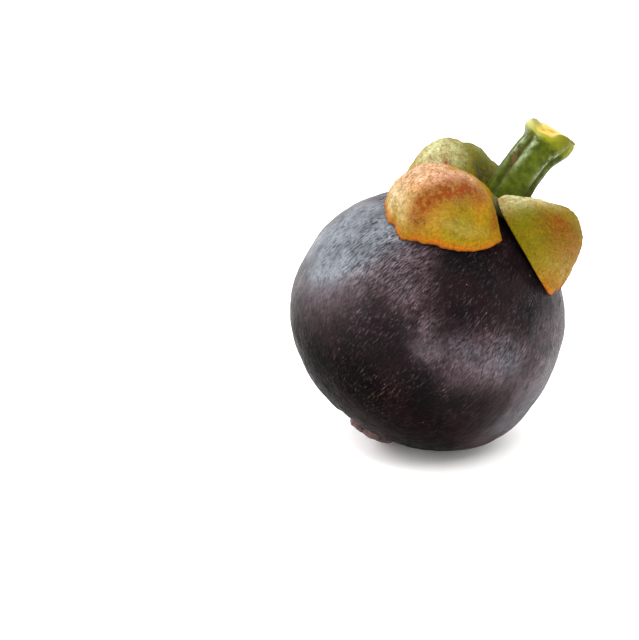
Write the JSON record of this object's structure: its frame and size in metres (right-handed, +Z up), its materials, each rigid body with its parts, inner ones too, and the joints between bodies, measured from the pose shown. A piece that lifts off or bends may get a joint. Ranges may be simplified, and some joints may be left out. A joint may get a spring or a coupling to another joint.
{
  "type": "mangosteen",
  "caption": "Whole mangosteen as picked: round dark purple fruit lying on a small flat spot, with its cut stem, cupped leathery sepals and the stigma rosette below.",
  "frame": {"origin": "centre of the flat spot that the fruit lies on, at the height of the surface below", "axes": "+Z up; the stem leans towards +X and a little towards +Y; -Y is the side seen in front"},
  "size_m": [0.0628, 0.06, 0.0723],
  "materials": {
    "skin": "purple-black rind with a dusty grey-blue waxy bloom, fine pale scratches and a satin gloss",
    "stem": "green ridged stalk with brown streaks and a pale yellow cut end",
    "sepal": "leathery olive yellow with orange rims, red-brown blush and fine wrinkles",
    "stigma": "dry dark brown lobes"
  },
  "bodies": {
    "root": {"fruit_body": "skin", "stem": "stem", "sepal_front": "sepal", "sepal_right": "sepal", "sepal_back": "sepal", "sepal_left": "sepal", "stigma": "stigma"}
  },
  "joints": []
}
